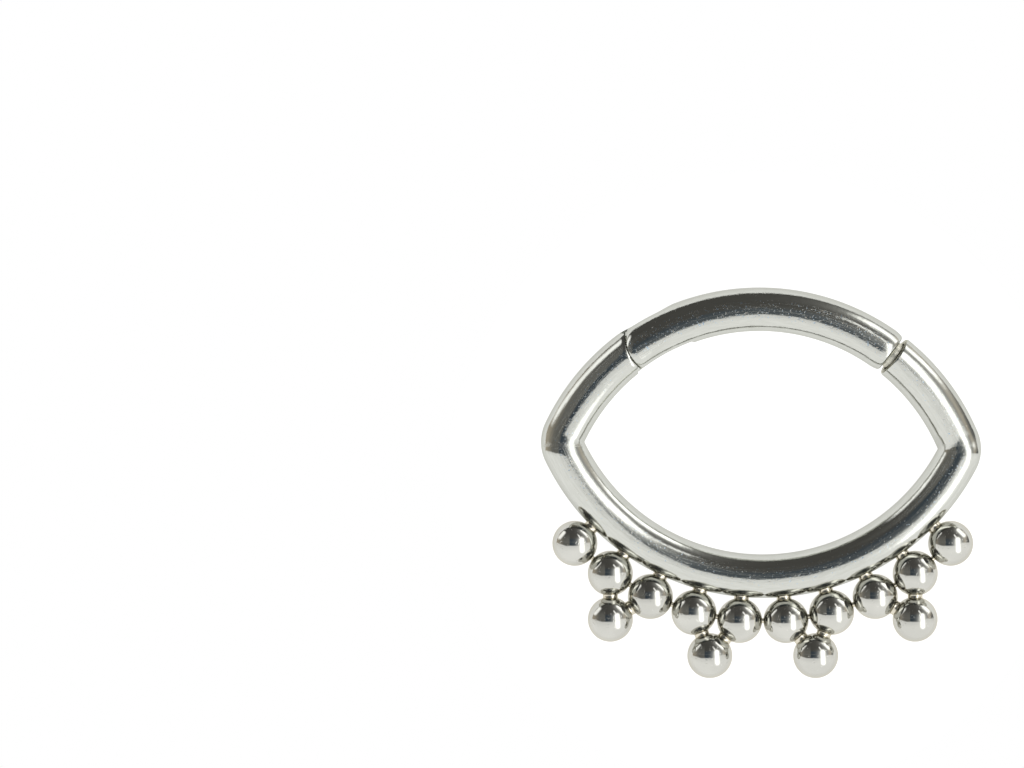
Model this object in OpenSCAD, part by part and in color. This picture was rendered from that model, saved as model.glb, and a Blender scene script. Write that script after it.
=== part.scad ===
// Eye-shaped hinged clicker ring with a beaded fringe, lying flat on its side.
// The ring's plane is XY: +X to the right, +Y to the crown, +Z to the viewer, floor at z = 0.
// Lengths are in millimetres. The origin is the bottom centre of the whole ring's box.

/* [Wire] */
// Diameter of the round wire, 16 gauge
wire_d = 1.2; // [1.1:0.05:1.2]
// Centreline radius of the lower arc, which carries the balls
lower_r = 6.01; // [5.9:0.01:6.2]
// Centreline radius of the upper arc: the two arms and the hinged segment
upper_r = 5.9; // [5.8:0.01:6.1]
// How far the upper arc's centre lies below the lower arc's centre
centre_drop = 4.6; // [4.4:0.05:4.8]
// How far the upper arc's centre lies to the right of the lower arc's centre
centre_shift = -0.09; // [-0.2:0.01:0.2]
// Centreline radius of the sharp bend at each corner of the eye
bend_r = 0.62; // [0.62:0.02:0.8]

/* [Balls] */
// Diameter of each ball
ball_d = 1.24; // [1.2:0.01:1.25]
// Distance between neighbouring balls of the first row
ball_pitch = 1.27; // [1.26:0.005:1.3]
// Clear gap between a ball and the wire, bridged by solder
ball_gap = 0.025; // [0.02:0.005:0.05]
// Distance of a second-row ball from each of the two balls that carry it
tip_pitch = 1.26; // [1.26:0.005:1.28]
// Diameter of the solder joint at the wire and at a second-row ball
solder_d = 0.4; // [0.3:0.02:0.5]
// Diameter of the thin solder bridge between neighbours of the first row
bridge_d = 0.14; // [0.1:0.02:0.2]

/* [Hinge] */
// Place of the pin on the upper arc, in degrees from +X
pin_angle = 118.8; // [118:0.1:120]
// Diameter of the hinge pin
pin_d = 0.5; // [0.4:0.02:0.5]
// Radial clearance of the pin in the segment's tongue, where it is fixed
pin_fixed_gap = 0.01; // [0.01:0.005:0.02]
// Radial clearance of the pin in the arm's tongue, in which it turns
pin_running_gap = 0.015; // [0.01:0.005:0.03]
// Gap between the two flat lapped faces
lap_gap = 0.03; // [0.02:0.01:0.05]
// Gap at the rounded end of each tongue
tongue_gap = 0.035; // [0.03:0.005:0.05]
// Radius of the rounded end of the segment's front tongue
front_tongue_r = 1.07; // [1.05:0.01:1.1]
// Centre of that rounding from the pin, along the wire towards the segment
front_tongue_x = 0.19; // [0.17:0.01:0.21]
// Centre of that rounding from the pin, inwards across the wire
front_tongue_in = 0.137; // [0.127:0.01:0.147]
// Radius of the rounded end of the arm's rear tongue
rear_tongue_r = 0.67; // [0.65:0.01:0.7]
// Centre of that rounding from the pin, along the wire towards the segment
rear_tongue_x = 0.13; // [0.1:0.01:0.16]
// Angle to which the segment opens, where the two wires meet
open_angle = 112; // [100:1:115]
// Clearance left between the two wires when fully open
stop_gap = 0.02; // [0.02:0.01:0.04]

/* [Latch] */
// Place of the segment's end face on the upper arc, in degrees from +X
gate_angle = 52.5; // [51:0.1:54]
// Gap between the segment's end face and the arm's face, at the wire's middle
gate_gap = 0.12; // [0.1:0.01:0.2]
// Lean of the arm's face, open towards the viewer, in degrees
gate_lean = 8; // [0:1:8]
// Diameter of the ball set in the segment's end
latch_d = 0.78; // [0.7:0.02:0.8]
// How far the latch ball's centre stands out from the segment's end face
latch_out = 0.08; // [0.05:0.01:0.1]
// Diameter of the ball's hidden shank
shank_d = 0.5; // [0.4:0.02:0.56]
// Length of the shank inside the segment
shank_l = 0.7; // [0.5:0.05:0.9]
// Clearance round the ball and shank in the segment's end
seat_gap = 0.01; // [0.01:0.005:0.02]
// Diameter of the socket in the arm's end
socket_d = 0.86; // [0.84:0.01:0.9]
// Free depth of the socket beyond the ball
socket_spare = 0.1; // [0.05:0.01:0.2]

/* [Hidden] */
$fn = 64;

wire_r = wire_d / 2;
ball_r = ball_d / 2;
steel = [0.8, 0.8, 0.78];
dull_steel = [0.6, 0.6, 0.57];

// Centres of the two arcs, with the lower arc's centre as the drawing's origin
lower_c = [0, 0];
upper_c = [centre_shift, -centre_drop];

function polar(r, a) = [r * cos(a), r * sin(a)];
function angle_of(v) = atan2(v[1], v[0]);
function on_upper(a) = upper_c + polar(upper_r, a);

// A bend's centre lies bend_r inside both arcs: the crossing of two circles on one side of the eye
function bend_centre(side) =
    let (
        across = upper_c - lower_c,
        apart = norm(across),
        reach_low = lower_r - bend_r,
        reach_up = upper_r - bend_r,
        along = (apart * apart + reach_low * reach_low - reach_up * reach_up) / (2 * apart),
        aside = sqrt(reach_low * reach_low - along * along),
        unit = across / apart
    )
    lower_c + along * unit + side * aside * [-unit[1], unit[0]];

left_c = bend_centre(-1);
right_c = bend_centre(1);
low_left = angle_of(left_c - lower_c);
low_right = angle_of(right_c - lower_c);
up_left = angle_of(left_c - upper_c);
up_right = angle_of(right_c - upper_c);

// Neighbouring stretches of wire stop just short of each other inside a round join, a hair fatter than the wire
join_extra = 0.005;
join_r = wire_r + join_extra;
join_gap = 0.02;

// Starting lines of round surfaces are turned away from the solder joints, for a clean union:
// round the wire's section, and from a first-row ball's outward direction
wire_seam = 135;
ball_seam = 135;

// First row of balls, on a circle about the lower arc's centre
row_count = 10;
row_r = lower_r + wire_r + ball_gap + ball_r;
row_step = 2 * asin(ball_pitch / (2 * row_r));
function row_angle(i) = -90 + (i - (row_count - 1) / 2) * row_step;
function row_ball(i) = lower_c + polar(row_r, row_angle(i));

// Second row: a ball below each of these pairs of first-row balls
tip_pairs = [[1, 2], [3, 4], [5, 6], [7, 8]];
tip_rise = sqrt(tip_pitch * tip_pitch - ball_pitch * ball_pitch / 4);
function tip_ball(pair) =
    let (middle = (row_ball(pair[0]) + row_ball(pair[1])) / 2)
    middle + tip_rise * (middle - lower_c) / norm(middle - lower_c);

// The whole ring's box, and the move that puts its bottom centre at the origin
bend_reach = bend_r + wire_r;
box_left = left_c[0] - bend_reach;
box_right = right_c[0] + bend_reach;
box_top = upper_c[1] + upper_r + wire_r;
box_low = tip_ball(tip_pairs[1])[1] - ball_r;
to_origin = [-(box_left + box_right) / 2, -(box_top + box_low) / 2, max(join_r, ball_r)];

// Cutting shapes reach this far past what they cut
far = 3;
// Length of wire beyond the pin that the tongues are cut from, as an angle of the upper arc
tongue_span = 11;
// Length of the other half's wire that the stop is cut for, to each side of the pin
stop_span = 33;
// A tongue's room and end are cut as a disc and a block that starts this far from the disc's centre
block_start = 0.1;
// The front tongue's disc is larger, and its block starts on the far side of the centre
front_block_start = 0.3;
front_tongue_c = [front_tongue_x, -front_tongue_in];
rear_tongue_c = [rear_tongue_x, 0];

// A stretch of round wire on an arc, from one angle to another
module arc_wire(centre, r, from, to, thick = wire_r) {
    translate([centre[0], centre[1], 0])
        rotate([0, 0, from])
            rotate_extrude(angle = to - from)
                translate([r, 0])
                    rotate(wire_seam)
                        circle(r = thick);
}

// Local frame at the pin: x along the wire towards the segment, y outwards
module at_pin() {
    pin = on_upper(pin_angle);
    translate([pin[0], pin[1], 0])
        rotate([0, 0, pin_angle - 90])
            children();
}

// Local frame at the segment's end face: x out of the face, y outwards
module at_gate() {
    gate = on_upper(gate_angle);
    translate([gate[0], gate[1], 0])
        rotate([0, 0, gate_angle - 90])
            children();
}

// Turns its children about the pin by an angle
module about_pin(a) {
    pin = on_upper(pin_angle);
    translate([pin[0], pin[1], 0])
        rotate([0, 0, a])
            translate([-pin[0], -pin[1], 0])
                children();
}

// A flat shape in the pin's frame, raised over the front half or the rear half of the wire
module front_half() {
    translate([0, 0, -lap_gap / 2])
        linear_extrude(far)
            children();
}

module rear_half() {
    translate([0, 0, lap_gap / 2 - far])
        linear_extrude(far)
            children();
}

// A solder joint from one ball centre or wire centre to another
module solder(from, to, d) {
    run = to - from;
    translate([from[0], from[1], 0])
        rotate([0, 0, angle_of(run)])
            rotate([0, 90, 0])
                cylinder(h = norm(run), d = d);
}

module ball(at, seam) {
    translate([at[0], at[1], 0])
        rotate([0, 0, seam])
            sphere(r = ball_r);
}

// A stretch of wire that stops just short of its joins, at one end or at both
module stretch(centre, r, from, to, short_from = 1, short_to = 1) {
    short = join_gap / r * 180 / PI;
    arc_wire(centre, r, from + short_from * short, to - short_to * short);
}

// The round join at an angle of an arc, with its poles inside the wire
module join(centre, r, a) {
    at = centre + polar(r, a);
    translate([at[0], at[1], 0])
        rotate([90, 0, a])
            sphere(r = join_r);
}

// The bent wire of the frame, before the hinge and the latch are cut
module frame_wire() {
    stretch(lower_c, lower_r, low_left + 360, low_right + 360);
    stretch(left_c, bend_r, up_left, low_left + 360);
    stretch(right_c, bend_r, low_right, up_right);
    stretch(upper_c, upper_r, pin_angle - tongue_span, up_left, short_from = 0);
    stretch(upper_c, upper_r, up_right, gate_angle + gate_lean, short_to = 0);
    for (a = [low_left, low_right])
        join(lower_c, lower_r, a);
    for (a = [up_left, up_right])
        join(upper_c, upper_r, a);
}

// Both rows of balls with their solder
module fringe() {
    for (i = [0 : row_count - 1]) {
        ball(row_ball(i), row_angle(i) + ball_seam);
        solder(lower_c + polar(lower_r, row_angle(i)), row_ball(i), solder_d);
    }
    for (i = [0 : row_count - 2])
        solder(row_ball(i), row_ball(i + 1), bridge_d);
    for (pair = tip_pairs) {
        ball(tip_ball(pair), (row_angle(pair[0]) + row_angle(pair[1])) / 2);
        for (i = pair)
            solder(row_ball(i), tip_ball(pair), solder_d);
    }
}

// What is cut from the arm: the front tongue's room, the rear tongue's end, the pin hole and the stop
module frame_hinge_cuts() {
    at_pin() {
        front_half()
            translate(front_tongue_c)
                circle(r = front_tongue_r + tongue_gap);
        translate([0, 0, -far])
            linear_extrude(2 * far)
                difference() {
                    translate([rear_tongue_x + block_start, -far / 2])
                        square(far);
                    translate(rear_tongue_c)
                        circle(r = rear_tongue_r);
                }
        cylinder(h = 2 * far, r = pin_d / 2 + pin_running_gap, center = true);
    }
    intersection() {
        about_pin(open_angle)
            arc_wire(upper_c, upper_r, pin_angle - stop_span, pin_angle + tongue_span, wire_r + stop_gap);
        at_pin()
            front_half()
                square(2 * far, center = true);
    }
}

// What is cut from the segment: the end of its front tongue, the rear tongue's room, the pin hole and the stop
module segment_hinge_cuts() {
    at_pin() {
        translate([0, 0, -far])
            linear_extrude(2 * far)
                difference() {
                    translate([front_tongue_x - front_block_start - far, -far / 2])
                        square(far);
                    translate(front_tongue_c)
                        circle(r = front_tongue_r);
                }
        rear_half()
            union() {
                translate(rear_tongue_c)
                    circle(r = rear_tongue_r + tongue_gap);
                translate([rear_tongue_x - far, -far / 2])
                    square(far);
            }
        cylinder(h = 2 * far, r = pin_d / 2 + pin_fixed_gap, center = true);
    }
    intersection() {
        about_pin(-open_angle)
            arc_wire(upper_c, upper_r, pin_angle - tongue_span, pin_angle + stop_span, wire_r + stop_gap);
        at_pin()
            rear_half()
                square(2 * far, center = true);
    }
}

// What is cut from the right arm: its leaning face and the latch ball's socket
module frame_gate_cuts() {
    at_gate() {
        translate([gate_gap, 0, 0])
            rotate([0, gate_lean, 0])
                translate([-far, -far / 2, -far / 2])
                    cube(far);
        rotate([0, 90, 0])
            cylinder(h = latch_out + latch_d / 2 + socket_spare, d = socket_d);
    }
}

module latch_shape(extra) {
    translate([latch_out, 0, 0])
        sphere(r = latch_d / 2 + extra);
    translate([-shank_l - extra, 0, 0])
        rotate([0, 90, 0])
            cylinder(h = shank_l + extra, r = shank_d / 2 + extra);
}

module ring_frame() {
    color(steel)
        translate(to_origin)
            difference() {
                union() {
                    frame_wire();
                    fringe();
                }
                frame_hinge_cuts();
                frame_gate_cuts();
            }
}

module hinged_segment() {
    color(steel)
        translate(to_origin)
            difference() {
                arc_wire(upper_c, upper_r, gate_angle, pin_angle + tongue_span);
                segment_hinge_cuts();
                at_gate()
                    latch_shape(seat_gap);
            }
}

// The pin's ends are ground flush with the wire
module hinge_pin() {
    color(steel)
        translate(to_origin)
            intersection() {
                at_pin()
                    cylinder(h = 2 * far, d = pin_d, center = true);
                arc_wire(upper_c, upper_r, pin_angle - tongue_span, pin_angle + tongue_span);
            }
}

module latch_ball() {
    color(dull_steel)
        translate(to_origin)
            at_gate()
                latch_shape(0);
}

ring_frame();
hinged_segment();
hinge_pin();
latch_ball();
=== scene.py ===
import math

import bmesh
import bpy
from mathutils import Matrix, Vector


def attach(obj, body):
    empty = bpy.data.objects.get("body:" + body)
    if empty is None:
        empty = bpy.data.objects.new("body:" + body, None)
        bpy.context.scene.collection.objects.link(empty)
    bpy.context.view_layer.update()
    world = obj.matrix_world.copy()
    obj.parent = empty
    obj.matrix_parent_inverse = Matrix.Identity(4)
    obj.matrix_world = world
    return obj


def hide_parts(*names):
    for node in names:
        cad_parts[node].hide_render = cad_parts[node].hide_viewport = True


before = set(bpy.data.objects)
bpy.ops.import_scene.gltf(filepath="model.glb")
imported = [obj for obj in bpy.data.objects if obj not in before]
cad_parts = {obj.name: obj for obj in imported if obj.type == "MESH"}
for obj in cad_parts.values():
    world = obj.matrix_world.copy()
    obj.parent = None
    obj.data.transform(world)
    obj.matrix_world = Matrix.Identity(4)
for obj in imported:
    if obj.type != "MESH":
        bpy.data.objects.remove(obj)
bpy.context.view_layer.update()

scene = bpy.context.scene
mm = 0.001  # shapes are drawn in millimetres and put into metres at the end

# The ring's two arcs, as in the CAD. Angles are in degrees from +X.
ring = {
    "wireRadius": 0.6,
    "lowerCentre": (0.0474951, 3.4540208),
    "lowerRadius": 6.01,
    "upperCentre": (-0.0425049, -1.1459792),
    "upperRadius": 5.9,
    "bendRadius": 0.62,
    "height": 0.62,  # of the wire's middle above the floor
    "sectionSteps": 96,
    # Lengths of wire between two sections
    "step": 0.075,
    "bendStep": 0.03,
    "hingeStep": 0.025,
    "endStep": 0.02,
}


def polar(centre, radius, angle, z=ring["height"]):
    turn = math.radians(angle)
    return Vector((centre[0] + radius * math.cos(turn), centre[1] + radius * math.sin(turn), z))


def angleOf(point, centre):
    return math.degrees(math.atan2(point[1] - centre[1], point[0] - centre[0]))


def bendCentre(side):
    # A bend touches both arcs from inside, so its centre is where two smaller circles cross
    low, up = Vector(ring["lowerCentre"]), Vector(ring["upperCentre"])
    apart = (up - low).length
    reachLow = ring["lowerRadius"] - ring["bendRadius"]
    reachUp = ring["upperRadius"] - ring["bendRadius"]
    along = (apart ** 2 + reachLow ** 2 - reachUp ** 2) / (2 * apart)
    aside = math.sqrt(reachLow ** 2 - along ** 2)
    unit = (up - low) / apart
    return low + along * unit + side * aside * Vector((-unit[1], unit[0]))


leftBend = bendCentre(-1)
rightBend = bendCentre(1)


# Small helpers for meshes

mesher = {
    "mergeDistance": 1e-5,
    "sharpAngle": 28,  # an edge stays sharp where its faces turn by more than this
    "onSide": 0.01,  # a point this near the wire's radius is on its side, not in an end face
}


def solid(name, bm, *materials):
    bmesh.ops.recalc_face_normals(bm, faces=bm.faces)
    if bm.calc_volume(signed=True) < 0:
        bmesh.ops.reverse_faces(bm, faces=bm.faces)
    mesh = bpy.data.meshes.new(name)
    bm.to_mesh(mesh)
    bm.free()
    for material in materials:
        mesh.materials.append(material)
    made = bpy.data.objects.new(name, mesh)
    scene.collection.objects.link(made)
    return made


def combine(target, tool, operation):
    # One Boolean step. Each face keeps its material, and a cut face has the tool's.
    step = target.modifiers.new("step", "BOOLEAN")
    step.operation = operation
    step.solver = "MANIFOLD"
    step.material_mode = "TRANSFER"
    step.object = tool
    graph = bpy.context.evaluated_depsgraph_get()
    result = bpy.data.meshes.new_from_object(target.evaluated_get(graph))
    target.modifiers.remove(step)
    old, used = target.data, tool.data
    target.data = result
    bpy.data.objects.remove(tool)
    bpy.data.meshes.remove(old)
    bpy.data.meshes.remove(used)
    return target


def finishPiece(piece, name, body, node):
    # Smooths the faces, keeps real edges sharp, and puts the mesh into metres
    bm = bmesh.new()
    bm.from_mesh(piece.data)
    bmesh.ops.remove_doubles(bm, verts=bm.verts, dist=mesher["mergeDistance"])
    limit = math.radians(mesher["sharpAngle"])
    for face in bm.faces:
        face.smooth = True
    for edge in bm.edges:
        edge.smooth = len(edge.link_faces) == 2 and edge.calc_face_angle(0) < limit
    openEdges = sum(1 for edge in bm.edges if len(edge.link_faces) != 2)
    bm.transform(Matrix.Scale(mm, 4))
    bm.to_mesh(piece.data)
    bm.free()
    piece.name = piece.data.name = name
    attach(piece, body)
    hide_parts(node)
    counts = [sum(1 for face in piece.data.polygons if face.material_index == i)
              for i in range(len(piece.data.materials))]
    print(name, "has", counts, "faces and", openEdges, "open edges")


def sectionAt(bm, centre, radius, angle, thick):
    # The wire's round section, standing across the arc at this angle
    place = Matrix.Translation(polar(centre, radius, angle))
    stand = Matrix.Rotation(math.radians(angle), 4, "Z") @ Matrix.Rotation(math.radians(90), 4, "X")
    verts = bmesh.ops.create_circle(bm, cap_ends=False, segments=ring["sectionSteps"], radius=thick,
                                    matrix=place @ stand)["verts"]
    return verts + list({edge for vert in verts for edge in vert.link_edges})


def sweep(bm, section, centre, radius, start, end, step=ring["step"]):
    span = math.radians(end - start)
    steps = max(2, round(abs(span) * radius / step))
    swept = bmesh.ops.spin(bm, geom=section, cent=(centre[0], centre[1], ring["height"]),
                           axis=(0, 0, 1), angle=span, steps=steps)
    return swept["geom_last"]


def closeEnds(bm, slot=0):
    ends = [edge for edge in bm.edges if edge.is_boundary]
    for face in bmesh.ops.holes_fill(bm, edges=ends, sides=0)["faces"]:
        face.material_index = slot


def arcWire(name, centre, radius, start, end, thick, material):
    bm = bmesh.new()
    section = sectionAt(bm, centre, radius, start, thick)
    sweep(bm, section, centre, radius, start, end)
    closeEnds(bm)
    return solid(name, bm, material)


def disc(name, place, radius, low, high, material, steps):
    bm = bmesh.new()
    bmesh.ops.create_cone(bm, cap_ends=True, segments=steps, radius1=radius, radius2=radius,
                          depth=high - low,
                          matrix=place @ Matrix.Translation((0, 0, (high + low) / 2)))
    return solid(name, bm, material)


def block(name, place, lowest, highest, material):
    size = Vector(highest) - Vector(lowest)
    middle = (Vector(highest) + Vector(lowest)) / 2
    bm = bmesh.new()
    bmesh.ops.create_cube(bm, size=1,
                          matrix=place @ Matrix.Translation(middle) @ Matrix.Diagonal((*size, 1)))
    return solid(name, bm, material)


def drawIn(bm, drops):
    # Moves the upper arc's surface towards the wire's middle line, by the largest of these drops
    centre = Vector((*ring["upperCentre"], ring["height"]))
    thick = ring["wireRadius"]
    for vert in bm.verts:
        arm = vert.co - centre
        middle = centre + Vector((arm.x, arm.y, 0)).normalized() * ring["upperRadius"]
        outward = vert.co - middle
        if abs(outward.length - thick) < mesher["onSide"]:
            vert.co = middle + outward * (1 - max(drop(vert.co, outward) for drop in drops) / thick)


def rounded(distance, length, depth):
    # A rounding that starts this far from an edge and is this deep at it
    def drop(place, outward):
        t = 1 - min(max(distance(place), 0), length) / length
        return depth * (1 - math.sqrt(1 - t * t))
    return drop


# Small helpers for shaders

class Signal:
    # A number, colour or vector on its way through a shader
    def __init__(self, shader, socket):
        self.shader = shader
        self.socket = socket

    def __add__(self, other):
        return self.shader.math("ADD", self, other)

    def __sub__(self, other):
        return self.shader.math("SUBTRACT", self, other)

    def __rsub__(self, other):
        return self.shader.math("SUBTRACT", other, self)

    def __mul__(self, other):
        return self.shader.math("MULTIPLY", self, other)

    def __truediv__(self, other):
        return self.shader.math("DIVIDE", self, other)

    def __abs__(self):
        return self.shader.math("ABSOLUTE", self)

    __radd__ = __add__
    __rmul__ = __mul__


class Shader:
    def __init__(self, tree):
        self.tree = tree
        tree.nodes.clear()

    def add(self, kind, settings=None, values=None, out=0):
        made = self.tree.nodes.new("ShaderNode" + kind)
        for key, value in (settings or {}).items():
            setattr(made, key, value)
        for key, value in (values or {}).items():
            if isinstance(value, Signal):
                self.tree.links.new(value.socket, made.inputs[key])
            else:
                made.inputs[key].default_value = value
        return Signal(self, made.outputs[out]) if made.outputs else made

    def math(self, operation, *values):
        return self.add("Math", {"operation": operation}, dict(enumerate(values)))

    def smoothStep(self, value, low, high):
        return self.add("MapRange", {"interpolation_type": "SMOOTHSTEP"},
                        {"Value": value, "From Min": low, "From Max": high})

    def mixColour(self, factor, first, second):
        return self.add("Mix", {"data_type": "RGBA"}, {0: factor, 6: first, 7: second}, out=2)

    def noise(self, vector, scale, detail, roughness):
        return self.add("TexNoise", {"noise_dimensions": "3D"},
                        {"Vector": vector, "Scale": scale, "Detail": detail, "Roughness": roughness})

    def vector(self, x, y, z):
        return self.add("CombineXYZ", None, {0: x, 1: y, 2: z})

    def split(self, vector):
        first = self.add("SeparateXYZ", None, {0: vector})
        return [Signal(self, first.socket.node.outputs[i]) for i in range(3)]


def newMaterial(name):
    material = bpy.data.materials.new(name)
    material.use_nodes = True
    return material, Shader(material.node_tree)


def colour(red, green, blue):
    return (red, green, blue, 1.0)


def grey(tone):
    return colour(tone, tone, tone)


# The polished wire. Bands are the two values between which a mask rises from 0 to 1.
steel = {
    "colour": colour(0.545, 0.552, 0.514),
    "lineColour": colour(0.5, 0.505, 0.466),
    "lineBand": (0.3, 0.7),
    "edgeTint": colour(0.73, 0.73, 0.7),  # steel mirrors less than an ideal metal at a grazing angle
    "roughness": 0.03,
    # On the frame, in y, the lines turn from the lower arc to the arms, and so does the lean. In x,
    # the lean turns from the left arm to the right one.
    "linesToArms": (0.98, 1.08),
    "leanToArms": (0.73, 1.33),
    "leanToRight": (-0.5, 0.5),
}
# Its noises: scale, detail and roughness
wireNoises = {
    "lines": (16.0, 4.0, 0.65),
    "shortLines": (11.0, 3.0, 0.7),
    "contours": (20.0, 0.0, 0.5),
    "waves": (2.2, 2.0, 0.5),
    "orangePeel": (7.0, 2.0, 0.5),
    "grain": (26.0, 2.0, 0.65),
    "marks": (18.0, 0.0, 0.5),
    "pits": (15.0, 1.0, 0.5),
    "specks": (30.0, 0.0, 0.5),
}
# Three of them follow the wire: factor along it, factor across it, and an offset
stretches = {
    "lines": (0.9, 1.0, 0.0),
    "shortLines": (6.0, 3.0, 0.0),
    "contours": (0.35, 0.8, 3.0),
}
wear = {
    "topBand": (0.5, 0.58),  # above the wire's middle: only the side that faces up is worn
    "markBand": (0.62, 0.67),
    "fewerOnFrame": 0.045,  # the segment is more worn than the frame
    "grainShare": 0.2,  # of the marks' noise
    "pitBand": (0.74, 0.78),
    "contour": 0.52,  # scratches run where the noise has this value
    "contourBand": (-0.008, -0.002),
    "longLineInside": 0.07,  # how far the segment's one longer line runs inside the wire's middle line
    "longLineWaves": 0.03,
    "longLineBand": (-0.024, -0.008),
    "speckColours": (colour(0.34, 0.49, 0.64), colour(0.62, 0.54, 0.42)),
    "speckBand": (0.48, 0.6),
    "speckStrength": 0.7,
}
# What the layers add to the polish's height, in millimetres, and to its roughness
wireHeights = {
    "lines": 0.0022,
    "shortLines": 0.0007,
    "orangePeel": 0.0022,
    "grain": 0.0002,
    "marks": -0.0012,
    "scratches": -0.0008,
}
wireRoughness = {
    "waves": 0.02,
    "marks": 0.24,
    "pits": 0.25,
    "scratches": 0.12,
}

# The real ring is bent a little out of its plane. The polish leans with it, in radians, while the metal
# stays flat: outwards from the arc's centre and anticlockwise along the arc, as polynomials of
# (angle - middle) / span
lean = {
    "lower": {"middle": -90, "span": 60, "outward": (-0.0426, -0.0547, -0.0103),
              "along": (-0.0786, -0.0835, 0.3822, -0.007, -0.2865)},
    "leftArm": {"middle": 143, "span": 12, "outward": (0.076,), "along": (0.138, 0.012)},
    "rightArm": {"middle": 37, "span": 12, "outward": (-0.008,), "along": (-0.157, 0.037)},
    "segment": {"middle": 90, "span": 35, "outward": (0.1456, 0.0771, -0.0506, -0.0455),
                "along": (0.0522, 0.0047, -0.039)},
}


def positionMm(shader):
    # Object coordinates in millimetres, as three numbers
    place = shader.add("TexCoord", out=3)
    return [axis * (1 / mm) for axis in shader.split(place)]


def aroundArc(shader, x, y, centre):
    # Distance from the arc's centre and the angle round it
    dx = x - centre[0]
    dy = y - centre[1]
    return shader.math("SQRT", dx * dx + dy * dy), shader.math("ARCTAN2", dy, dx)


def polynomial(factors, at):
    result = factors[-1]
    for factor in reversed(factors[:-1]):
        result = at * result + factor
    return result


def integral(factors, scale):
    return (0.0,) + tuple(factor * scale / (i + 1) for i, factor in enumerate(factors))


def leanHeight(shader, part, offCentre, turn, arcRadius, start=None):
    # A gentle height in millimetres whose slope turns the polish by the lean. With a start angle, it is
    # zero there.
    span = math.radians(part["span"])
    at = (turn - math.radians(part["middle"])) / span
    along = integral(part["along"], span * arcRadius)
    height = polynomial(along, at) + offCentre * polynomial(part["outward"], at)
    if start is not None:
        height = height - polynomial(along, (start - part["middle"]) / part["span"])
    return height * -1.0


def frameLean(shader, x, y, upperRadius, upperTurn, lowerRadius, lowerTurn):
    # Each arm starts at its bend with the height that the lower arc has there
    lower = lean["lower"]
    alongLower = integral(lower["along"], math.radians(lower["span"]) * ring["lowerRadius"])
    low = leanHeight(shader, lower, lowerRadius - ring["lowerRadius"], lowerTurn, ring["lowerRadius"])
    offCentre = upperRadius - ring["upperRadius"]
    arms = []
    for part, bend in ((lean["leftArm"], leftBend), (lean["rightArm"], rightBend)):
        angle = angleOf(bend, ring["lowerCentre"])
        angle = angle - 360 if angle > 0 else angle
        corner = polynomial(alongLower, (angle - lower["middle"]) / lower["span"])
        start = angleOf(bend, ring["upperCentre"])
        arms.append(leanHeight(shader, part, offCentre, upperTurn, ring["upperRadius"], start) - corner)
    onRight = shader.smoothStep(x, *steel["leanToRight"])
    onArms = shader.smoothStep(y, *steel["leanToArms"])
    arm = arms[0] * (1 - onRight) + arms[1] * onRight
    return low * (1 - onArms) + arm * onArms


def metal(shader, tint, roughness, height, edgeTint):
    bump = shader.add("Bump", None, {"Strength": 1.0, "Distance": mm, "Height": height})
    surface = shader.add("BsdfPrincipled", None,
                         {"Base Color": tint, "Metallic": 1.0, "Roughness": roughness,
                          "Normal": bump, "Specular Tint": edgeTint})
    shader.add("OutputMaterial", None, {"Surface": surface})


def wireSteel(name, isSegment):
    # Mirror-polished wire with faint lengthwise lines, handling marks along its top and a few fine pits
    material, shader = newMaterial(name)
    x, y, z = positionMm(shader)
    upperRadius, upperTurn = aroundArc(shader, x, y, ring["upperCentre"])
    if isSegment:
        height = leanHeight(shader, lean["segment"], upperRadius - ring["upperRadius"], upperTurn,
                            ring["upperRadius"])
        along, across = upperTurn, upperRadius
    else:
        lowerRadius, lowerTurn = aroundArc(shader, x, y, ring["lowerCentre"])
        height = frameLean(shader, x, y, upperRadius, upperTurn, lowerRadius, lowerTurn)
        onArms = shader.smoothStep(y, *steel["linesToArms"])
        along = lowerTurn * (1 - onArms) + upperTurn * onArms
        across = lowerRadius * (1 - onArms) + upperRadius * onArms
    unstretched = shader.vector(x, y, z)
    layers = {}
    for key, settings in wireNoises.items():
        place = unstretched
        if key in stretches:
            alongBy, acrossBy, offset = stretches[key]
            place = shader.vector(along * alongBy, across * acrossBy, z * acrossBy + offset)
        layers[key] = shader.noise(place, *settings)

    onTop = shader.smoothStep(z, *[ring["height"] + edge for edge in wear["topBand"]])
    fromContour = abs(layers["contours"] - wear["contour"])
    scratches = shader.smoothStep(fromContour * -1.0, *wear["contourBand"]) * onTop
    if isSegment:
        # One longer line, along most of the crown
        inside = across - ring["upperRadius"] + wear["longLineInside"]
        fromLine = abs(inside + layers["waves"] * wear["longLineWaves"])
        longLine = shader.smoothStep(fromLine * -1.0, *wear["longLineBand"])
        scratches = scratches + longLine * layers["shortLines"]
    fewer = 0.0 if isSegment else wear["fewerOnFrame"]
    markNoise = layers["marks"] * (1 - wear["grainShare"]) + layers["grain"] * wear["grainShare"]
    layers["marks"] = shader.smoothStep(markNoise, *[edge + fewer for edge in wear["markBand"]]) * onTop
    layers["pits"] = shader.smoothStep(layers["pits"], *wear["pitBand"])
    layers["scratches"] = scratches

    isLine = shader.smoothStep(layers["lines"], *steel["lineBand"])
    tint = shader.mixColour(isLine, steel["colour"], steel["lineColour"])
    whichSpeck = shader.smoothStep(layers["specks"], *wear["speckBand"])
    specks = shader.mixColour(whichSpeck, *wear["speckColours"])
    tint = shader.mixColour(layers["marks"] * wear["speckStrength"], tint, specks)
    roughness = steel["roughness"]
    for key, factor in wireRoughness.items():
        roughness = layers[key] * factor + roughness
    for key, factor in wireHeights.items():
        height = height + layers[key] * factor
    metal(shader, tint, roughness, height, steel["edgeTint"])
    return material


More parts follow.
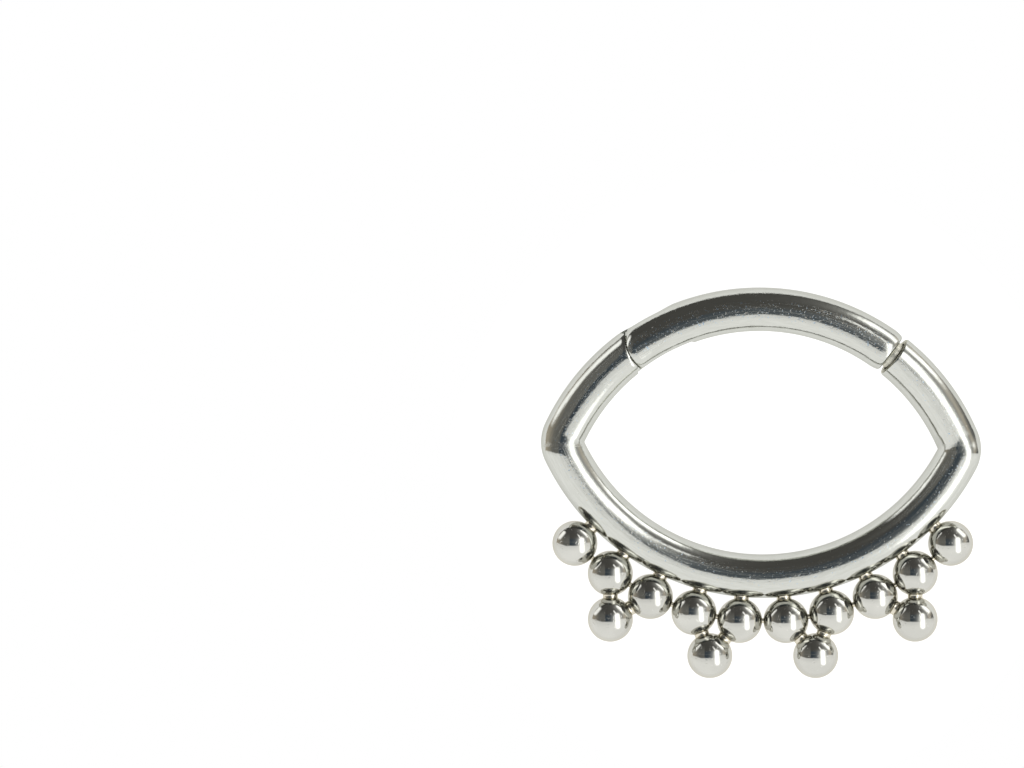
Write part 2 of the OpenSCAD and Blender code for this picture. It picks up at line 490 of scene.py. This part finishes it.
# Steel without lengthwise lines. The grain is the scale of its noise, and heights are in millimetres.
plainLooks = {
    "ballSteel": {"colour": colour(0.543, 0.54, 0.5), "roughness": 0.035, "grain": 9.0,
                  "height": 0.0009, "speckDepth": 0.0018},
    "solderSteel": {"colour": colour(0.62, 0.58, 0.48), "roughness": 0.12, "grain": 12.0,
                    "height": 0.006},
    "groundSteel": {"colour": colour(0.56, 0.57, 0.5), "roughness": 0.36, "grain": 11.0,
                    "height": 0.022, "stretch": (0.6, 1.5, 1.5)},
    # The socket's steel is partly a smoother finish (less roughness and bump) and partly painted light:
    # its colour is paler than real steel, to lift the shade inside the socket bore.
    "socketSteelPaintedLight": {"colour": colour(0.72, 0.7, 0.62), "roughness": 0.3, "grain": 9.0,
                    "height": 0.0015},
    "latchSteel": {"colour": colour(0.62, 0.61, 0.53), "roughness": 0.42, "grain": 10.0,
                   "height": 0.002},
}
plain = {
    "edgeTint": colour(0.81, 0.78, 0.71),
    "fineNoise": (3.0, 0.6),  # detail and roughness
    "broadNoise": (2.0, 0.5),
    "broadScale": 0.12,  # of the grain
    "broadBand": (0.35, 0.65),
    "darker": 0.92,
    "evenRoughness": 0.5,  # share of the roughness that doesn't follow the noise
    "speckNoise": (13.0, 1.0, 0.5),
    "speckBand": (0.64, 0.7),
}


def plainSteel(name):
    look = plainLooks[name]
    tone, roughness, grain = look["colour"], look["roughness"], look["grain"]
    material, shader = newMaterial(name)
    stretch = look.get("stretch", (1.0, 1.0, 1.0))
    place = shader.vector(*[axis * factor for axis, factor in zip(positionMm(shader), stretch)])
    fine = shader.noise(place, grain, *plain["fineNoise"])
    broad = shader.noise(place, grain * plain["broadScale"], *plain["broadNoise"])
    darker = colour(*[channel * plain["darker"] for channel in tone[:3]])
    tint = shader.mixColour(shader.smoothStep(broad, *plain["broadBand"]), tone, darker)
    height = fine * look["height"]
    if "speckDepth" in look:
        specks = shader.smoothStep(shader.noise(place, *plain["speckNoise"]), *plain["speckBand"])
        height = height - specks * look["speckDepth"]
    metal(shader, tint, fine * roughness + roughness * plain["evenRoughness"], height, plain["edgeTint"])
    return material


frameSteel = wireSteel("frameSteel", False)
segmentSteel = wireSteel("segmentSteel", True)
ballSteel = plainSteel("ballSteel")
solderSteel = plainSteel("solderSteel")
groundSteel = plainSteel("groundSteel")
socketSteelPaintedLight = plainSteel("socketSteelPaintedLight")
latchSteel = plainSteel("latchSteel")
print("materials are made")


hinge = {
    "pinAngle": 118.8,
    "pinRadius": 0.25,
    "pinGap": 0.003,
    "pinSteps": 96,
    "lapGap": 0.03,
    "seamGap": 0.022,  # at the front tongue, where the seam is seen
    "tongueGap": 0.035,
    "frontTongueRadius": 1.07,
    "frontTongueCentre": (0.19, -0.137),
    "rearTongueRadius": 0.67,
    "rearTongueCentre": (0.13, 0.0),
    "tongueSteps": 192,
    "tongueSpan": 11,
    "stopSpan": 33,
    "stopGap": 0.02,
    "openAngle": 112,
    "lapHalfWidth": 0.555,  # the wire's sides are filed a little flatter along the lap
    "lapEnds": (-0.9, 0.82),
    "lapFade": 0.5,  # on the outer side the filing fades out over this length
    "lapMargin": 0.02,  # points this near the lap belong to both halves of the wire
    "pinMargin": 0.1,  # a tongue's end is at least this far from the pin, along the wire
    # Blocks that cut the tongues: half width, and where they start from the tongue's middle
    "cutHalfWidth": 1.5,
    "frontCutFrom": 0.3,
    "rearCutFrom": 0.1,
    # The sections are closer over these spans of the upper arc
    "frameFineSpan": (124.4, 130.4),
    "segmentFineSpan": (122, 128.6),
}
latch = {
    "gateAngle": 52.5,
    "gateGap": 0.12,
    "gateLean": 8,
    "leaningSpan": 3,  # of the arc, over which the arm's sections come to lean
    "leaningSteps": 12,
    "armEndReach": 1,  # points further than this from the gate aren't at the arm's end
    "fineSpan": 3.5,  # of the arc, from the gate into the segment
    "ballRadius": 0.39,
    "ballOut": 0.08,
    "ballSteps": (72, 36),
    "shankRadius": 0.25,
    "shankLength": 0.7,
    "shankSteps": 64,
    "seatGap": 0.01,
    "socketRadius": 0.43,
    "socketSpare": 0.1,
    "socketStart": -0.4,  # the cutter starts in the open, on the segment's side
    "socketSteps": 96,
}
# How far each rounded edge reaches along the wire, and how deep it is at the edge
rounding = {
    "segmentEnd": (0.3, 0.085),
    "armEnd": (0.05, 0.02),
    "frontTongue": (0.2, 0.06),
    "frontWall": (0.12, 0.035),
    "rearTongue": (0.08, 0.03),
    "rearWall": (0.08, 0.03),
}
reach = 3  # cutting shapes reach this far past what they cut


def frameAt(angle):
    # x along the wire towards the segment's end, y outwards, z up, at this angle of the upper arc
    spot = polar(ring["upperCentre"], ring["upperRadius"], angle)
    return Matrix.Translation(spot) @ Matrix.Rotation(math.radians(angle - 90), 4, "Z")


def shifted(place, x, y):
    return place @ Matrix.Translation((x, y, 0))


atPin = frameAt(hinge["pinAngle"])
atGate = frameAt(latch["gateAngle"])
fromPin = atPin.inverted()
fromGate = atGate.inverted()
gateSlope = math.tan(math.radians(latch["gateLean"]))
alongLatch = atGate @ Matrix.Rotation(math.radians(90), 4, "Y")
atFrontTongue = shifted(atPin, *hinge["frontTongueCentre"])
atRearTongue = shifted(atPin, *hinge["rearTongueCentre"])


def fromTongue(place, centre, isFront):
    # Distance from a tongue's middle in its own half of the wire, and nothing in the other half
    spot = fromPin @ place
    side = 1 if isFront else -1
    if spot.z * side > -hinge["lapMargin"] and spot.x * side < -hinge["pinMargin"]:
        return math.hypot(spot.x - centre[0], spot.y - centre[1])
    return None


def tongueEdge(kind, isFront, gap=0.0, outside=False):
    # Distance of a surface point from the rounded end of a tongue, or from the wall that faces it
    centre = hinge[kind + "Centre"]
    wall = hinge[kind + "Radius"] + gap

    def distance(place):
        found = fromTongue(place, centre, isFront)
        if found is None:
            return reach
        return found - wall if outside else wall - found
    return distance


def lapSides(place, outward):
    spot = fromPin @ place
    low, high = hinge["lapEnds"]
    halfWidth, fade = hinge["lapHalfWidth"], hinge["lapFade"]
    side = math.hypot(outward.x, outward.y)
    if low < spot.x < high and side > halfWidth:
        full = min(spot.x - low, high - spot.x, fade) / fade if spot.y > 0 else 1
        return ring["wireRadius"] * (1 - halfWidth / side) * full
    return 0


def stopRelief(degrees, start, end, low, high, material):
    # Where the other half's wire lies when the ring is fully open
    wire = arcWire("relief", ring["upperCentre"], ring["upperRadius"], start, end,
                   ring["wireRadius"] + hinge["stopGap"], material)
    pin = atPin.translation
    wire.data.transform(Matrix.Translation(pin) @ Matrix.Rotation(math.radians(degrees), 4, "Z") @
                        Matrix.Translation(-pin))
    half = block("half", atPin, (-2 * reach, -2 * reach, low), (2 * reach, 2 * reach, high), groundSteel)
    return combine(wire, half, "INTERSECT")


def pinHole():
    return disc("pinHole", atPin, hinge["pinRadius"] + hinge["pinGap"], -reach, reach, groundSteel,
                hinge["pinSteps"])


def leanArmEnd(bm, run, armEnd):
    # The arm's end face leans, open towards the viewer, so its last sections lean more and more
    up = ring["upperCentre"]
    edges = [item for item in run if isinstance(item, bmesh.types.BMEdge)]
    steps = latch["leaningSteps"]
    for i in range(steps):
        made = bmesh.ops.extrude_edge_only(bm, edges=edges)["geom"]
        verts = {item for item in made if isinstance(item, bmesh.types.BMVert)}
        edges = [item for item in made
                 if isinstance(item, bmesh.types.BMEdge) and set(item.verts) <= verts]
        part = 1 - (1 - (i + 1) / steps) ** 2
        for vert in verts:
            across = math.hypot(vert.co.x - up[0], vert.co.y - up[1])
            gap = latch["gateGap"] + gateSlope * (vert.co.z - ring["height"])
            last = latch["gateAngle"] - math.degrees(math.asin(gap / across))
            vert.co = polar(up, across, armEnd + (last - armEnd) * part, vert.co.z)


def fromArmEnd(place):
    spot = fromGate @ place
    if 0 < spot.x < latch["armEndReach"] and abs(spot.y) < latch["armEndReach"]:
        return spot.x - latch["gateGap"] - gateSlope * spot.z
    return reach


def frameWire():
    up, low = ring["upperCentre"], ring["lowerCentre"]
    upRadius, bendRadius, bendStep = ring["upperRadius"], ring["bendRadius"], ring["bendStep"]
    start = hinge["pinAngle"] - hinge["tongueSpan"]
    fineStart, fineEnd = hinge["frameFineSpan"]
    cornerLeft, cornerRight = angleOf(leftBend, low) + 360, angleOf(rightBend, low) + 360
    armLeft, armRight = angleOf(leftBend, up), angleOf(rightBend, up)
    armEnd = latch["gateAngle"] - latch["leaningSpan"]
    bm = bmesh.new()
    run = sectionAt(bm, up, upRadius, start, ring["wireRadius"])
    run = sweep(bm, run, up, upRadius, start, fineStart)
    run = sweep(bm, run, up, upRadius, fineStart, fineEnd, ring["hingeStep"])
    run = sweep(bm, run, up, upRadius, fineEnd, armLeft)
    run = sweep(bm, run, leftBend, bendRadius, armLeft, cornerLeft, bendStep)
    run = sweep(bm, run, low, ring["lowerRadius"], cornerLeft, cornerRight)
    run = sweep(bm, run, rightBend, bendRadius, cornerRight - 360, armRight, bendStep)
    run = sweep(bm, run, up, upRadius, armRight, armEnd)
    leanArmEnd(bm, run, armEnd)
    closeEnds(bm, slot=1)
    frontWall = tongueEdge("frontTongue", True, hinge["seamGap"], outside=True)
    drawIn(bm, (
        rounded(fromArmEnd, *rounding["armEnd"]),
        rounded(frontWall, *rounding["frontWall"]),
        rounded(tongueEdge("rearTongue", False), *rounding["rearTongue"]),
        lapSides,
    ))
    return solid("frameWire", bm, frameSteel, groundSteel)


fringe = {
    "ballRadius": 0.62,
    "ballPitch": 1.27,
    "ballGap": 0.025,
    "ballCount": 10,
    "ballSteps": (80, 40),
    "tipPitch": 1.26,
    "tipPairs": ((1, 2), (3, 4), (5, 6), (7, 8)),
    "solderRadius": 0.2,
    "bridgeRadius": 0.07,
    # How much wider a neck is at these distances from its waist, and how wide its hidden ends are
    "solderFlare": ((0.045, 0.03), (0.09, 0.12), (0.16, 0.35)),
    "solderTip": 0.6,
    "solderSteps": 40,
}
rowRadius = ring["lowerRadius"] + ring["wireRadius"] + fringe["ballGap"] + fringe["ballRadius"]
rowStep = math.degrees(2 * math.asin(fringe["ballPitch"] / (2 * rowRadius)))
rowAngles = [-90 + (i - (fringe["ballCount"] - 1) / 2) * rowStep for i in range(fringe["ballCount"])]
rowBalls = [polar(ring["lowerCentre"], rowRadius, angle) for angle in rowAngles]


def tipBall(first, second):
    middle = (rowBalls[first] + rowBalls[second]) / 2
    out = middle - Vector((*ring["lowerCentre"], ring["height"]))
    rise = math.sqrt(fringe["tipPitch"] ** 2 - fringe["ballPitch"] ** 2 / 4)
    return middle + rise * out.normalized()


def ballAt(spot):
    bm = bmesh.new()
    around, upDown = fringe["ballSteps"]
    bmesh.ops.create_uvsphere(bm, u_segments=around, v_segments=upDown, radius=fringe["ballRadius"],
                              matrix=Matrix.Translation(spot))
    return solid("ball", bm, ballSteel)


def solderJoint(start, end, radius):
    # A waisted neck, whose ends are hidden inside what it joins
    run = end - start
    half = run.length / 2
    flare, tip = fringe["solderFlare"], radius * fringe["solderTip"]
    profile = [(-half, tip)]
    profile += [(-along, radius * (1 + wider)) for along, wider in reversed(flare)]
    profile += [(0.0, radius)]
    profile += [(along, radius * (1 + wider)) for along, wider in flare]
    profile += [(half, tip)]
    bm = bmesh.new()
    verts = [bm.verts.new((across, 0, along)) for along, across in profile]
    edges = [bm.edges.new(pair) for pair in zip(verts, verts[1:])]
    bmesh.ops.spin(bm, geom=verts + edges, cent=(0, 0, 0), axis=(0, 0, 1), angle=math.tau,
                   steps=fringe["solderSteps"], use_merge=True)
    closeEnds(bm)
    turn = run.to_track_quat("Z", "Y").to_matrix().to_4x4()
    bm.transform(Matrix.Translation((start + end) / 2) @ turn)
    return solid("solder", bm, solderSteel)


def fringeOfBalls():
    beads = ballAt(rowBalls[0])
    for spot in rowBalls[1:]:
        combine(beads, ballAt(spot), "UNION")
    for first, second in zip(rowBalls, rowBalls[1:]):
        combine(beads, solderJoint(first, second, fringe["bridgeRadius"]), "UNION")
    for pair in fringe["tipPairs"]:
        tip = tipBall(*pair)
        combine(beads, ballAt(tip), "UNION")
        for i in pair:
            combine(beads, solderJoint(rowBalls[i], tip, fringe["solderRadius"]), "UNION")
    startRadius = rowRadius - 2 * fringe["ballRadius"] - fringe["ballGap"]
    for spot, angle in zip(rowBalls, rowAngles):
        start = polar(ring["lowerCentre"], startRadius, angle)
        combine(beads, solderJoint(start, spot, fringe["solderRadius"]), "UNION")
    return beads


def ringFrame():
    # The bent wire, its balls and their solder are one piece of metal
    wire = combine(frameWire(), fringeOfBalls(), "UNION")
    lap, side = hinge["lapGap"] / 2, hinge["cutHalfWidth"]
    room = disc("room", atFrontTongue, hinge["frontTongueRadius"] + hinge["seamGap"], -lap, reach,
                groundSteel, hinge["tongueSteps"])
    combine(wire, room, "DIFFERENCE")
    end = block("end", atRearTongue, (hinge["rearCutFrom"], -side, -reach), (reach, side, reach),
                groundSteel)
    tongue = disc("tongue", atRearTongue, hinge["rearTongueRadius"], -2 * reach, 2 * reach,
                  groundSteel, hinge["tongueSteps"])
    combine(end, tongue, "DIFFERENCE")
    combine(wire, end, "DIFFERENCE")
    combine(wire, pinHole(), "DIFFERENCE")
    relief = stopRelief(hinge["openAngle"], hinge["pinAngle"] - hinge["stopSpan"],
                        hinge["pinAngle"] + hinge["tongueSpan"], -lap, reach, frameSteel)
    combine(wire, relief, "DIFFERENCE")
    depth = latch["ballOut"] + latch["ballRadius"] + latch["socketSpare"]
    # The bore's walls take the paler socket steel, painted light that lifts the shade in the bore.
    socket = disc("socket", alongLatch, latch["socketRadius"], latch["socketStart"], depth, socketSteelPaintedLight,
                  latch["socketSteps"])
    combine(wire, socket, "DIFFERENCE")
    finishPiece(wire, "ringFrame", "frame", "ring_frame")


def segmentWire():
    up, upRadius = ring["upperCentre"], ring["upperRadius"]
    start, end = latch["gateAngle"], hinge["pinAngle"] + hinge["tongueSpan"]
    endFine = start + latch["fineSpan"]
    fineStart, fineEnd = hinge["segmentFineSpan"]
    bm = bmesh.new()
    run = sectionAt(bm, up, upRadius, start, ring["wireRadius"])
    run = sweep(bm, run, up, upRadius, start, endFine, ring["endStep"])
    run = sweep(bm, run, up, upRadius, endFine, fineStart)
    run = sweep(bm, run, up, upRadius, fineStart, fineEnd, ring["hingeStep"])
    sweep(bm, run, up, upRadius, fineEnd, end)
    closeEnds(bm, slot=1)
    rearWall = tongueEdge("rearTongue", False, hinge["tongueGap"], outside=True)
    drawIn(bm, (
        rounded(lambda place: -(fromGate @ place).x, *rounding["segmentEnd"]),
        rounded(tongueEdge("frontTongue", True), *rounding["frontTongue"]),
        rounded(rearWall, *rounding["rearWall"]),
        lapSides,
    ))
    return solid("segmentWire", bm, segmentSteel, groundSteel)


def hingedSegment():
    wire = segmentWire()
    lap, side, start = hinge["lapGap"] / 2, hinge["cutHalfWidth"], hinge["frontCutFrom"]
    tongueEnd = block("tongueEnd", atFrontTongue, (-reach - start, -side, -reach), (-start, side, reach),
                      groundSteel)
    tongue = disc("tongue", atFrontTongue, hinge["frontTongueRadius"], -2 * reach, 2 * reach,
                  groundSteel, hinge["tongueSteps"])
    combine(tongueEnd, tongue, "DIFFERENCE")
    combine(wire, tongueEnd, "DIFFERENCE")
    room = disc("room", atRearTongue, hinge["rearTongueRadius"] + hinge["tongueGap"], -reach, lap,
                groundSteel, hinge["tongueSteps"])
    behind = block("behind", atRearTongue, (-reach, -side, -reach), (0, side, lap), groundSteel)
    combine(room, behind, "UNION")
    combine(wire, room, "DIFFERENCE")
    combine(wire, pinHole(), "DIFFERENCE")
    relief = stopRelief(-hinge["openAngle"], hinge["pinAngle"] - hinge["tongueSpan"],
                        hinge["pinAngle"] + hinge["stopSpan"], -reach, lap, segmentSteel)
    combine(wire, relief, "DIFFERENCE")
    combine(wire, latchShape("seat", latch["seatGap"], groundSteel), "DIFFERENCE")
    finishPiece(wire, "hingedSegment", "segment", "hinged_segment")


def hingePin():
    # It is fixed in the front tongue, and its ends are ground flush with the wire
    pin = disc("pin", atPin, hinge["pinRadius"], -reach, reach, groundSteel, hinge["pinSteps"])
    start, end = [hinge["pinAngle"] + side * hinge["tongueSpan"] for side in (-1, 1)]
    flush = arcWire("flush", ring["upperCentre"], ring["upperRadius"], start, end, ring["wireRadius"],
                    segmentSteel)
    combine(pin, flush, "INTERSECT")
    finishPiece(pin, "hingePin", "segment", "hinge_pin")


def latchShape(name, extra, material):
    # A ball with a plain shank into the segment's end
    around, upDown = latch["ballSteps"]
    bm = bmesh.new()
    bmesh.ops.create_uvsphere(bm, u_segments=around, v_segments=upDown,
                              radius=latch["ballRadius"] + extra,
                              matrix=alongLatch @ Matrix.Translation((0, 0, latch["ballOut"])))
    made = solid(name, bm, material)
    shank = disc("shank", alongLatch, latch["shankRadius"] + extra, -latch["shankLength"] - extra, 0,
                 material, latch["shankSteps"])
    return combine(made, shank, "UNION")


def latchBall():
    made = latchShape("latchBall", 0, latchSteel)
    finishPiece(made, "latchBall", "segment", "latch_ball")


ringFrame()
hingedSegment()
hingePin()
latchBall()
print("pieces are made")


paleFloor = {
    "radius": 8.5,
    "steps": 96,
    "noise": (0.6, 3.0, 0.5),
    "tones": (grey(0.29), grey(0.31)),
    "glow": 0.95,
}


def floor():
    material, shader = newMaterial("paleFloor")
    grain = shader.noise(shader.vector(*positionMm(shader)), *paleFloor["noise"])
    matt = shader.add("BsdfDiffuse", None, {"Color": shader.mixColour(grain, *paleFloor["tones"])})
    glow = shader.add("Emission", None, {"Color": grey(1.0), "Strength": paleFloor["glow"]})
    both = shader.add("AddShader", None, {0: matt, 1: glow})
    shader.add("OutputMaterial", None, {"Surface": both})
    bm = bmesh.new()
    bmesh.ops.create_circle(bm, cap_ends=True, segments=paleFloor["steps"], radius=paleFloor["radius"])
    made = solid("floor", bm, material)
    made.data.transform(Matrix.Scale(mm, 4))


floor()


# The light is a white sweep on one side, a dark room on the other, and soft panels. Places are as a
# polished ball would mirror them, seen from above: (0, 0) is straight up and 0.707 is the horizon.
studio = {
    "blueRoom": colour(0.058, 0.078, 0.1),
    "brownRoom": colour(0.096, 0.093, 0.088),
    "brownBand": (0.12, 0.28),  # upwards
    "greyRoom": colour(0.2, 0.197, 0.186),
    "greyBands": ((0.21, 0.27), (-0.5, -0.15)),  # leftwards and downwards
    "paleRoom": colour(0.8, 0.7, 0.56),
    "paleLeft": 0.65,  # the most of it
    "paleLeftBand": (0.45, 0.85),  # leftwards
    "paleRight": 0.75,
    "paleRightBand": (0.45, 0.62),  # rightwards
    "dimmerBand": (0.62, 0.74),  # further to the right it is weaker
    "dimmer": 0.8,
    # The sweep's edge: its height, how it climbs to the left, and its rise on the right
    "sweepHeight": -0.1,
    "sweepLeftFrom": 0.4,
    "sweepLeftSlope": 0.3,
    "sweepRightBand": (0.2, 0.55),
    "sweepRightRise": 0.14,
    "sweepBands": (((-0.025, 0.035), 0.82), ((0.0, 0.28), 0.18)),  # a fairly sharp edge, then a slow rise
    "sweepGlow": 1.285,
    # Round the two large panels: strength, fall, most, and the height over which it fades out
    "halos": ((2.3, 13.5, 0.8, (0.5, -0.1)), (0.7, 13.0, 0.8, (2.0, 1.0))),
    "haloColour": colour(1.05, 1.05, 1.03),
    "panels": (
        # start, end, half width, softness, glow
        ((0.3, 0.165), (0.325, -0.31), 0.086, 0.066, 3.2),
        ((0.335, 0.59), (0.58, 0.345), 0.062, 0.06, 2.5),
        ((-0.68, 0.252), (-0.488, 0.482), 0.068, 0.045, 1.7),
        ((0.15, 0.372), (0.25, 0.24), 0.024, 0.025, 1.8),
        ((-0.6, 0.066), (0.08, 0.06), 0.004, 0.006, 0.34),
    ),
    "leastScale": 0.0001,  # keeps the places finite straight down
}


def fromPanel(shader, nx, ny, start, end):
    # Distance from the panel's middle line
    run = Vector(end) - Vector(start)
    length = run.length
    c, s = run / length
    along = (nx - start[0]) * c + (ny - start[1]) * s
    across = (ny - start[1]) * c - (nx - start[0]) * s
    past = shader.math("MAXIMUM", abs(along - length / 2) - length / 2, 0.0)
    return shader.math("SQRT", past * past + across * across)


def roomColour(shader, nx, ny):
    # Bluish overhead, brownish beyond, greyer to the left, paler at the far sides
    leftwards, downwards = nx * -1.0, ny * -1.0
    brown = shader.smoothStep(ny, *studio["brownBand"])
    lit = shader.mixColour(brown, studio["blueRoom"], studio["brownRoom"])
    sideBand, heightBand = studio["greyBands"]
    left = shader.smoothStep(leftwards, *sideBand) * shader.smoothStep(downwards, *heightBand)
    lit = shader.mixColour(left, lit, studio["greyRoom"])
    farLeft = shader.smoothStep(leftwards, *studio["paleLeftBand"])
    weaker = shader.smoothStep(nx, *studio["dimmerBand"]) * studio["dimmer"]
    farRight = shader.smoothStep(nx, *studio["paleRightBand"]) - weaker
    pale = shader.math("MAXIMUM", farLeft * studio["paleLeft"], farRight * studio["paleRight"])
    return shader.mixColour(pale, lit, studio["paleRoom"])


def studioLight():
    world = bpy.data.worlds.new("studio")
    world.use_nodes = True
    scene.world = world
    shader = Shader(world.node_tree)
    dx, dy, dz = shader.split(shader.add("TexCoord"))
    scale = shader.math("SQRT", shader.math("MAXIMUM", (dz + 1.0) * 2.0, studio["leastScale"]))
    nx = dx / scale
    ny = dy / scale
    lit = roomColour(shader, nx, ny)
    for (strength, fall, most, fade), panel in zip(studio["halos"], studio["panels"]):
        start, end, halfWidth = panel[:3]
        away = fromPanel(shader, nx, ny, start, end) - halfWidth
        halo = shader.math("EXPONENT", away * -fall) * strength * shader.smoothStep(ny, *fade)
        lit = shader.mixColour(shader.math("MINIMUM", halo, most), lit, studio["haloColour"])

    climb = shader.math("MAXIMUM", nx * -1.0 - studio["sweepLeftFrom"], 0.0) * studio["sweepLeftSlope"]
    rise = shader.smoothStep(nx, *studio["sweepRightBand"]) * studio["sweepRightRise"]
    below = climb + studio["sweepHeight"] + rise - ny
    sharp, slow = [shader.smoothStep(below, *band) * share for band, share in studio["sweepBands"]]
    lit = shader.mixColour(sharp + slow, lit, grey(studio["sweepGlow"]))
    for start, end, halfWidth, softness, glow in studio["panels"]:
        away = fromPanel(shader, nx, ny, start, end)
        mask = shader.smoothStep(away * -1.0, -halfWidth - softness, softness - halfWidth)
        lit = shader.mixColour(mask, lit, grey(glow))
    seenDirectly = shader.add("LightPath")
    shown = shader.mixColour(seenDirectly, lit, grey(1.0))
    background = shader.add("Background", None, {"Color": shown, "Strength": 1.0})
    shader.add("OutputWorld", None, {"Surface": background})


studioLight()

view = {
    "middle": (-6.822, 2.7065),
    "distance": 300.0,
    "width": 28.05,  # of the picture, at the ring
    "sensorWidth": 36,
    "clip": (0.001, 10),
}


def camera():
    data = bpy.data.cameras.new("camera")
    data.sensor_width = view["sensorWidth"]
    data.lens = view["sensorWidth"] * view["distance"] / view["width"]
    data.clip_start, data.clip_end = view["clip"]
    made = bpy.data.objects.new("camera", data)
    x, y = view["middle"]
    made.location = (x * mm, y * mm, (view["distance"] + ring["height"]) * mm)
    scene.collection.objects.link(made)
    scene.camera = made


camera()
scene.view_settings.view_transform = "Standard"
print("floor, light and camera are set")
